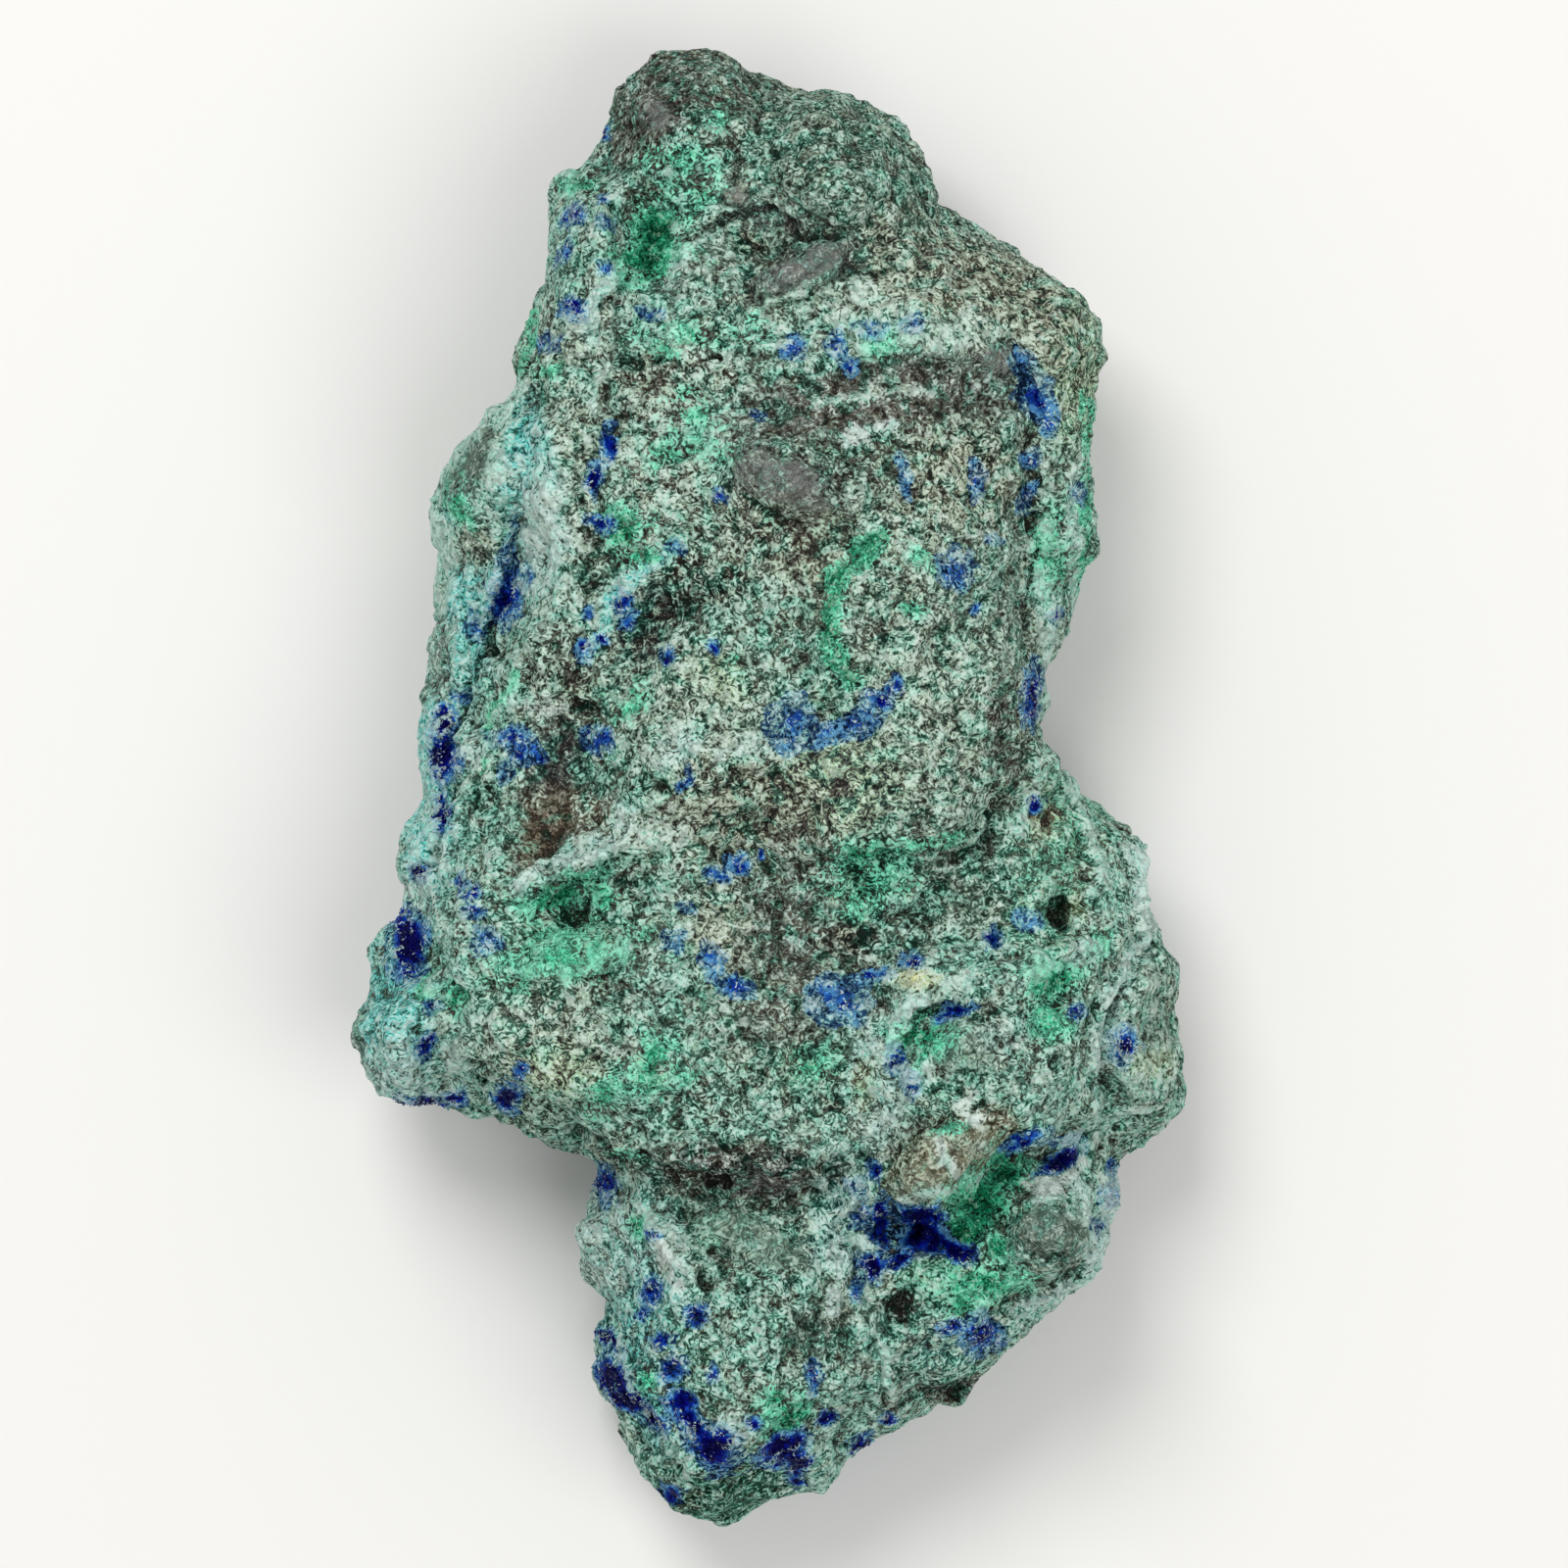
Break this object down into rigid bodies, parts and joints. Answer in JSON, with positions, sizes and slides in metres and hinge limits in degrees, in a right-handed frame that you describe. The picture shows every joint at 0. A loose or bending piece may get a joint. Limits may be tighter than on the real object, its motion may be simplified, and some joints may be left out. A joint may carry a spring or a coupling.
{
  "type": "azurite and malachite mineral specimen",
  "caption": "Rough elongated lump of green and blue copper ore with ledges, clefts, pits and rounded lobes, lying on its level broken back.",
  "frame": {"origin": "centre of the bounding box in plan, at the height of the level broken back that the specimen rests on", "axes": "+Z out of the front face, upwards as it lies; +Y along its length towards the rounded top knob; +X to the right, seen from above"},
  "size_m": [0.0682, 0.1206, 0.0392],
  "materials": {
    "ore": "matte, rough, speckled grey-green crust with deep blue crystal patches"
  },
  "bodies": {
    "root": {"azurite_specimen": "ore"}
  },
  "joints": []
}
